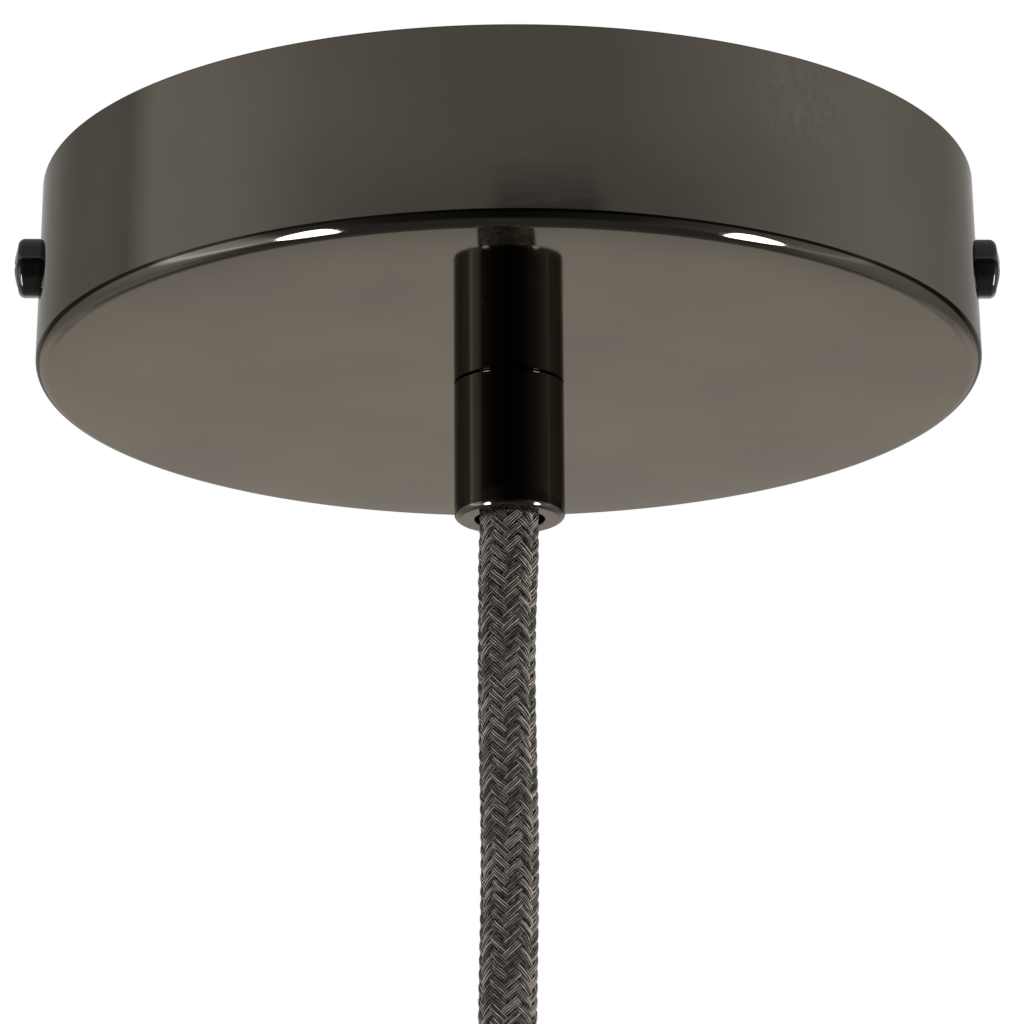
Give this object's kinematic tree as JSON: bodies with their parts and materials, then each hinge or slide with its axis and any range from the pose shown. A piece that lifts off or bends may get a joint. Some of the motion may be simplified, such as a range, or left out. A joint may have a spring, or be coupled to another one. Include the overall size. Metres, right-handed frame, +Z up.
{
  "type": "ceiling canopy",
  "caption": "Round metal ceiling canopy with a side-screw bracket, a terminal block, a cord grip and a short textile-covered pendant cord.",
  "frame": {"origin": "centre of the bracket's top face on the ceiling plane, on the canopy's axis", "axes": "+Z up into the ceiling, +X through the right-hand side screw; the picture looks along +Y from below"},
  "size_m": [0.1262, 0.12, 0.1433],
  "materials": {
    "black_pearl": "black nickel plating, mirror polished",
    "black_lacquer": "gloss black lacquer",
    "zinc_plate": "bright zinc plating",
    "brass": "machined",
    "tinned_copper": "tinned",
    "bare_copper": "bare stranded wire",
    "white_nylon": "natural moulded nylon",
    "shrink_sleeve": "heat-shrink tube",
    "textile_cord": "braided rayon with a slight sheen",
    "brown_core": "extruded insulation",
    "blue_core": "extruded insulation",
    "earth_core": "green insulation with a yellow stripe"
  },
  "bodies": {
    "root": {"canopy_cup": "black_pearl", "ceiling_bracket": "zinc_plate", "side_screw_left": "black_lacquer", "side_screw_right": "black_lacquer", "cord_grip_body": "black_pearl", "cord_grip_collet": "white_nylon", "threaded_nipple": "zinc_plate", "lock_washer": "zinc_plate", "lock_nut": "zinc_plate", "terminal_block_housing": "white_nylon", "terminal_barrel_live": "brass", "terminal_barrel_neutral": "brass", "terminal_barrel_earth": "brass", "clamp_screw_live_supply": "zinc_plate", "clamp_screw_live_cord": "zinc_plate", "clamp_screw_neutral_supply": "zinc_plate", "clamp_screw_neutral_cord": "zinc_plate", "clamp_screw_earth_supply": "zinc_plate", "clamp_screw_earth_cord": "zinc_plate", "block_screw_1": "zinc_plate", "block_screw_2": "zinc_plate", "earth_screw": "zinc_plate", "earth_washer": "zinc_plate", "earth_ring_terminal": "tinned_copper", "earth_link_wire": "earth_core", "earth_link_ferrule": "tinned_copper", "live_core": "brown_core", "neutral_core": "blue_core", "earth_core": "earth_core", "live_ferrule": "tinned_copper", "neutral_ferrule": "tinned_copper", "earth_ferrule": "tinned_copper", "cord_top_sleeve": "shrink_sleeve", "pendant_cord": "textile_cord", "cord_end_sleeve": "shrink_sleeve", "live_tail": "brown_core", "neutral_tail": "blue_core", "earth_tail": "earth_core", "live_tail_end": "bare_copper", "neutral_tail_end": "bare_copper", "earth_tail_end": "bare_copper"}
  },
  "joints": []
}
